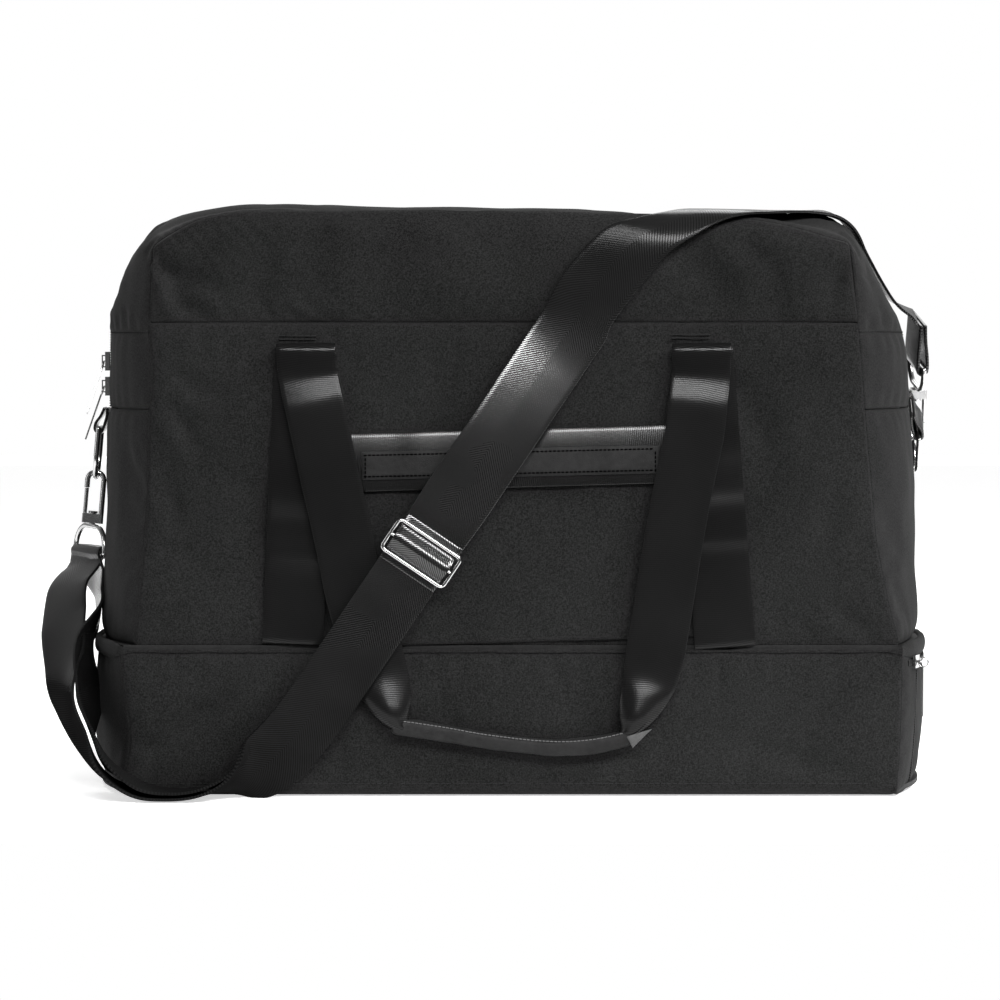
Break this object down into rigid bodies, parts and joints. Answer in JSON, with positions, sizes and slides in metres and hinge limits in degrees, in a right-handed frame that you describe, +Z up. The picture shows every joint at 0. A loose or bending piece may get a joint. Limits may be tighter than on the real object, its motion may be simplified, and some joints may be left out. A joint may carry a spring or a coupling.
{
  "type": "weekender bag",
  "caption": "Canvas weekender bag with a zipped shoe compartment in its base, two webbing handles and a clip-on adjustable shoulder strap.",
  "frame": {"origin": "middle of the base on the ground", "axes": "+Z up, front faces -Y, +X to the right of someone looking at the front"},
  "size_m": [0.5708, 0.2907, 0.3768],
  "materials": {
    "canvas": "heathered black canvas",
    "webbing": "satin twill webbing",
    "zip_tape": "woven tape with coil teeth",
    "pu": "grained PU",
    "lining": "smooth polyester lining",
    "board": "stiffener board",
    "metal": "polished nickel plate"
  },
  "bodies": {
    "bag": {"base_sole": "canvas", "base_board": "board", "base_front": "canvas", "base_back": "canvas", "base_left_end": "canvas", "base_right_surround": "canvas", "base_seam_band": "canvas", "divider_board": "board", "base_zip": "zip_tape", "front_panel": "canvas", "back_panel": "canvas", "left_gusset": "canvas", "right_gusset": "canvas", "left_boxing": "canvas", "right_boxing": "canvas", "left_zip_end": "zip_tape", "right_zip_end": "zip_tape", "lining": "lining", "slip_pocket": "canvas", "pocket_hem": "webbing", "pocket_patch": "pu", "sewn_webbing_front": "webbing", "sewn_webbing_rear": "webbing", "left_ring_tab": "webbing", "right_ring_tab": "webbing", "strap_main": "webbing", "strap_loop": "webbing", "strap_end_tab": "webbing"},
    "mouth_front": {"front_yoke": "canvas", "front_boxing": "canvas", "front_zip_half": "zip_tape"},
    "mouth_rear": {"rear_yoke": "canvas", "rear_boxing": "canvas", "rear_zip_half": "zip_tape"},
    "upper_zip_slider": {"upper_zip_slider": "metal"},
    "upper_zip_pull": {"upper_zip_pull": "metal"},
    "lower_zip_slider": {"lower_zip_slider": "metal"},
    "lower_zip_pull": {"lower_zip_pull": "metal"},
    "base_flap": {"base_flap": "canvas"},
    "base_zip_slider": {"base_zip_slider": "metal"},
    "base_zip_pull": {"base_zip_pull": "metal"},
    "handle_front": {"handle_front_webbing": "webbing", "handle_front_grip": "pu"},
    "handle_rear": {"handle_rear_webbing": "webbing", "handle_rear_grip": "pu"},
    "left_d_ring": {"left_d_ring": "metal"},
    "left_hook": {"left_hook": "metal"},
    "left_hook_gate": {"left_hook_gate": "metal"},
    "left_swivel_eye": {"left_swivel_eye": "metal"},
    "right_d_ring": {"right_d_ring": "metal"},
    "right_hook": {"right_hook": "metal"},
    "right_hook_gate": {"right_hook_gate": "metal"},
    "right_swivel_eye": {"right_swivel_eye": "metal"},
    "strap_slider": {"strap_slider": "metal", "strap_bar_fold": "webbing"}
  },
  "joints": [
    {"name": "mouth_front_hinge", "type": "hinge", "parent": "bag", "child": "mouth_front", "pos_m": [0, -0.115, 0.294], "axis": [-1, 0, 0], "range_deg": [-50, 0], "deforming": ["strap_main"]},
    {"name": "mouth_rear_hinge", "type": "hinge", "parent": "bag", "child": "mouth_rear", "pos_m": [0, 0.115, 0.294], "axis": [1, 0, 0], "range_deg": [-50, 0]},
    {"name": "handle_front_hinge", "type": "hinge", "parent": "bag", "child": "handle_front", "pos_m": [0, -0.1181, 0.281], "axis": [-1, 0, 0], "range_deg": [0, 176]},
    {"name": "handle_rear_hinge", "type": "hinge", "parent": "bag", "child": "handle_rear", "pos_m": [0, 0.1181, 0.281], "axis": [1, 0, 0], "range_deg": [0, 176]},
    {"name": "upper_zip_travel", "type": "slide", "parent": "bag", "child": "upper_zip_slider", "axis": [0, 0, 1], "range_m": [0, 0.012]},
    {"name": "upper_pull_hinge", "type": "hinge", "parent": "upper_zip_slider", "child": "upper_zip_pull", "pos_m": [-0.2599, 0, 0.269], "axis": [0, 1, 0], "range_deg": [0, 130]},
    {"name": "lower_zip_travel", "type": "slide", "parent": "bag", "child": "lower_zip_slider", "axis": [0, 0, 1], "range_m": [-0.006, 0]},
    {"name": "lower_pull_hinge", "type": "hinge", "parent": "lower_zip_slider", "child": "lower_zip_pull", "pos_m": [-0.2599, 0, 0.253], "axis": [0, 1, 0], "range_deg": [0, 95]},
    {"name": "base_flap_hinge", "type": "hinge", "parent": "bag", "child": "base_flap", "pos_m": [0.2642, 0, 0.003], "axis": [0, 1, 0], "range_deg": [0, 88]},
    {"name": "base_zip_travel", "type": "hinge", "parent": "bag", "child": "base_zip_slider", "pos_m": [-0.06345, 0, 0.0825], "axis": [0, 0, 1], "range_deg": [-1.5, 32]},
    {"name": "base_pull_hinge", "type": "hinge", "parent": "base_zip_slider", "child": "base_zip_pull", "pos_m": [0.25629, -0.0914, 0.0825], "axis": [-0.2748, -0.9615, 0], "range_deg": [0, 38]},
    {"name": "strap_adjuster", "type": "slide", "parent": "bag", "child": "strap_slider", "axis": [0.5592, 0, 0.829], "range_m": [-0.06, 0.1]},
    {"name": "left_ring_swing", "type": "hinge", "parent": "bag", "child": "left_d_ring", "pos_m": [-0.2626, 0, 0.226], "axis": [0, 1, 0], "range_deg": [0, 8], "deforming": ["strap_loop"]},
    {"name": "left_hook_swing", "type": "hinge", "parent": "left_d_ring", "child": "left_hook", "pos_m": [-0.26537, 0, 0.19432], "axis": [0, 1, 0], "range_deg": [0, 10]},
    {"name": "left_gate_hinge", "type": "hinge", "parent": "left_hook", "child": "left_hook_gate", "pos_m": [-0.27265, 0, 0.17077], "axis": [0, 1, 0], "range_deg": [0, 17], "stiffness_Nm_per_rad": 0.01, "springref_deg": -17.19},
    {"name": "left_swivel", "type": "hinge", "parent": "left_hook", "child": "left_swivel_eye", "pos_m": [-0.26738, 0, 0.17131], "axis": [0.0872, 0, 0.9962], "range_deg": [-12, 4]},
    {"name": "right_ring_swing", "type": "hinge", "parent": "bag", "child": "right_d_ring", "pos_m": [0.2622, 0.01418, 0.22689], "axis": [0, -0.8191, -0.5736], "range_deg": [0, 1.5], "deforming": ["strap_end_tab"]},
    {"name": "right_hook_swing", "type": "hinge", "parent": "right_d_ring", "child": "right_hook", "pos_m": [0.2622, 0.03605, 0.22146], "axis": [0, 0.9659, 0.2588], "range_deg": [0, 5]},
    {"name": "right_gate_hinge", "type": "hinge", "parent": "right_hook", "child": "right_hook_gate", "pos_m": [0.2674, 0.02593, 0.24615], "axis": [0, 0.9659, 0.2588], "range_deg": [0, 7], "stiffness_Nm_per_rad": 0.01, "springref_deg": -17.19},
    {"name": "right_swivel", "type": "hinge", "parent": "right_hook", "child": "right_swivel_eye", "pos_m": [0.2622, 0.02619, 0.24518], "axis": [0, -0.2588, 0.9659], "range_deg": [-4, 4]}
  ]
}
